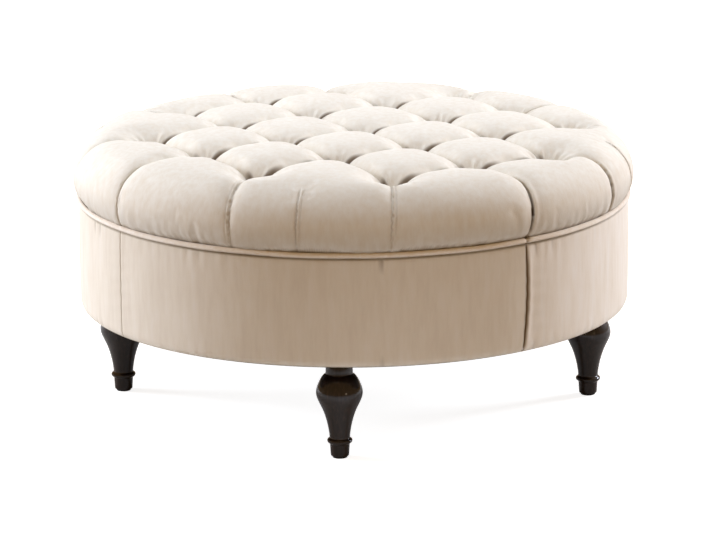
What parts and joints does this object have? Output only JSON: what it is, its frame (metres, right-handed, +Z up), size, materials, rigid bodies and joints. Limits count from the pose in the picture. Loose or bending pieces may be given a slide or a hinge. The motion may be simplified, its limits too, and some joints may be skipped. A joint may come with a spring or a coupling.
{
  "type": "tufted footstool",
  "caption": "Round tufted footstool: a deep tufted cushion on a padded drum with a welt, standing on short turned wooden legs.",
  "frame": {"origin": "on the floor, under the middle of the drum", "axes": "+Z up; the legs stand on the X and Y axes, and -Y is the front, a few degrees from the side that the picture shows"},
  "size_m": [0.9318, 0.9318, 0.4598],
  "materials": {
    "ivory_velvet": "matte",
    "polyester_wadding": "matte",
    "cushion_foam": "matte",
    "birch_plywood": "matte",
    "pine": "matte",
    "hardboard": "matte",
    "grey_card": "matte",
    "cotton_cord": "matte",
    "nylon_twine": "matte",
    "zinc_steel": "satin",
    "espresso_beech": "satin",
    "black_nylon": "matte",
    "black_cambric": "matte"
  },
  "bodies": {
    "root": {"tufted_cover": "ivory_velvet", "band_panel_front": "ivory_velvet", "band_panel_right": "ivory_velvet", "band_panel_back": "ivory_velvet", "band_panel_left": "ivory_velvet", "welt_cover": "ivory_velvet", "tuft_buttons": "ivory_velvet", "cushion_batting": "polyester_wadding", "side_padding": "polyester_wadding", "foam_pad": "cushion_foam", "deck_board": "birch_plywood", "upper_ring": "birch_plywood", "base_ring": "birch_plywood", "frame_posts": "pine", "deck_rails": "pine", "leg_blocks": "pine", "side_wrap": "hardboard", "tack_strip": "grey_card", "welt_cord": "cotton_cord", "tuft_twines": "nylon_twine", "tuft_washers": "zinc_steel", "frame_screws": "zinc_steel", "deck_screws": "zinc_steel", "dust_cover_staples": "zinc_steel", "hanger_bolts": "zinc_steel", "t_nuts": "zinc_steel", "glide_nails": "zinc_steel", "leg_front": "espresso_beech", "leg_right": "espresso_beech", "leg_back": "espresso_beech", "leg_left": "espresso_beech", "foot_glides": "black_nylon", "dust_cover": "black_cambric"}
  },
  "joints": []
}
